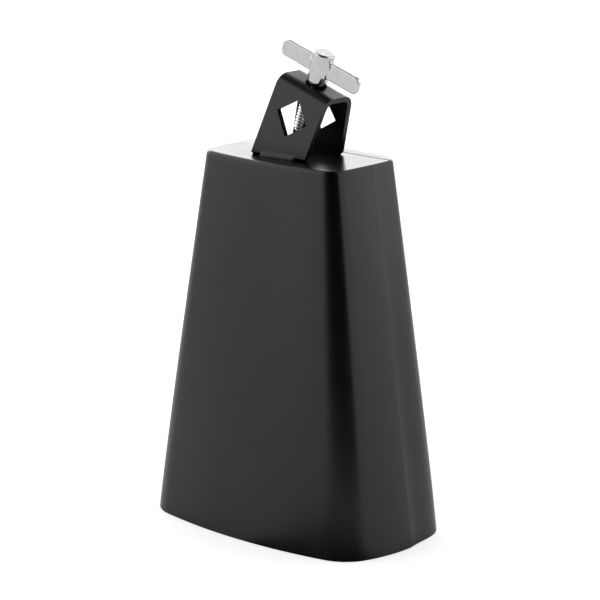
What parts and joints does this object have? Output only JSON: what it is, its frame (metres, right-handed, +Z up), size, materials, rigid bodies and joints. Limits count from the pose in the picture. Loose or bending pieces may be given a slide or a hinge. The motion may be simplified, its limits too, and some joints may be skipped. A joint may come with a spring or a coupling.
{
  "type": "cowbell",
  "caption": "Black cowbell: tapered sheet-steel bell, tilted welded U bracket with square rod holes, and a chromed wing screw that clamps a rod.",
  "frame": {"origin": "centre of the mouth's plane, where the bell stands", "axes": "+Z up from the mouth to the wing screw; X across the wide faces, +X the side the bracket leans to; -Y the front face"},
  "size_m": [0.136, 0.0848, 0.2269],
  "materials": {
    "bell_paint": "satin black paint over sheet steel",
    "bracket_paint": "satin black paint over strap steel",
    "washer_nylon": "matt black nylon",
    "stud_chrome": "bright plated rolled thread",
    "head_chrome": "bright plated casting"
  },
  "bodies": {
    "bell": {"front_shell": "bell_paint", "rear_shell": "bell_paint", "left_seam_weld": "bell_paint", "right_seam_weld": "bell_paint", "crown_seam_weld": "bell_paint", "mount_bracket": "bracket_paint", "front_foot_weld": "bracket_paint", "rear_foot_weld": "bracket_paint", "threaded_bush": "bracket_paint"},
    "washer": {"captive_washer": "washer_nylon"},
    "wing_screw": {"threaded_shaft": "stud_chrome", "wing_head": "head_chrome"}
  },
  "joints": [
    {"name": "screw_feed", "type": "slide", "parent": "bell", "child": "washer", "axis": [0.3057, 0, 0.9521], "range_m": [0, 0.018]},
    {"name": "screw_turn", "type": "hinge", "parent": "washer", "child": "wing_screw", "pos_m": [0.01023, 0, 0.20952], "axis": [0.3057, 0, 0.9521], "range_deg": [0, 4320]}
  ],
  "couplings": [
    {"joint": "screw_feed", "follows": "screw_turn", "m_per_rad": 0.00023873}
  ]
}
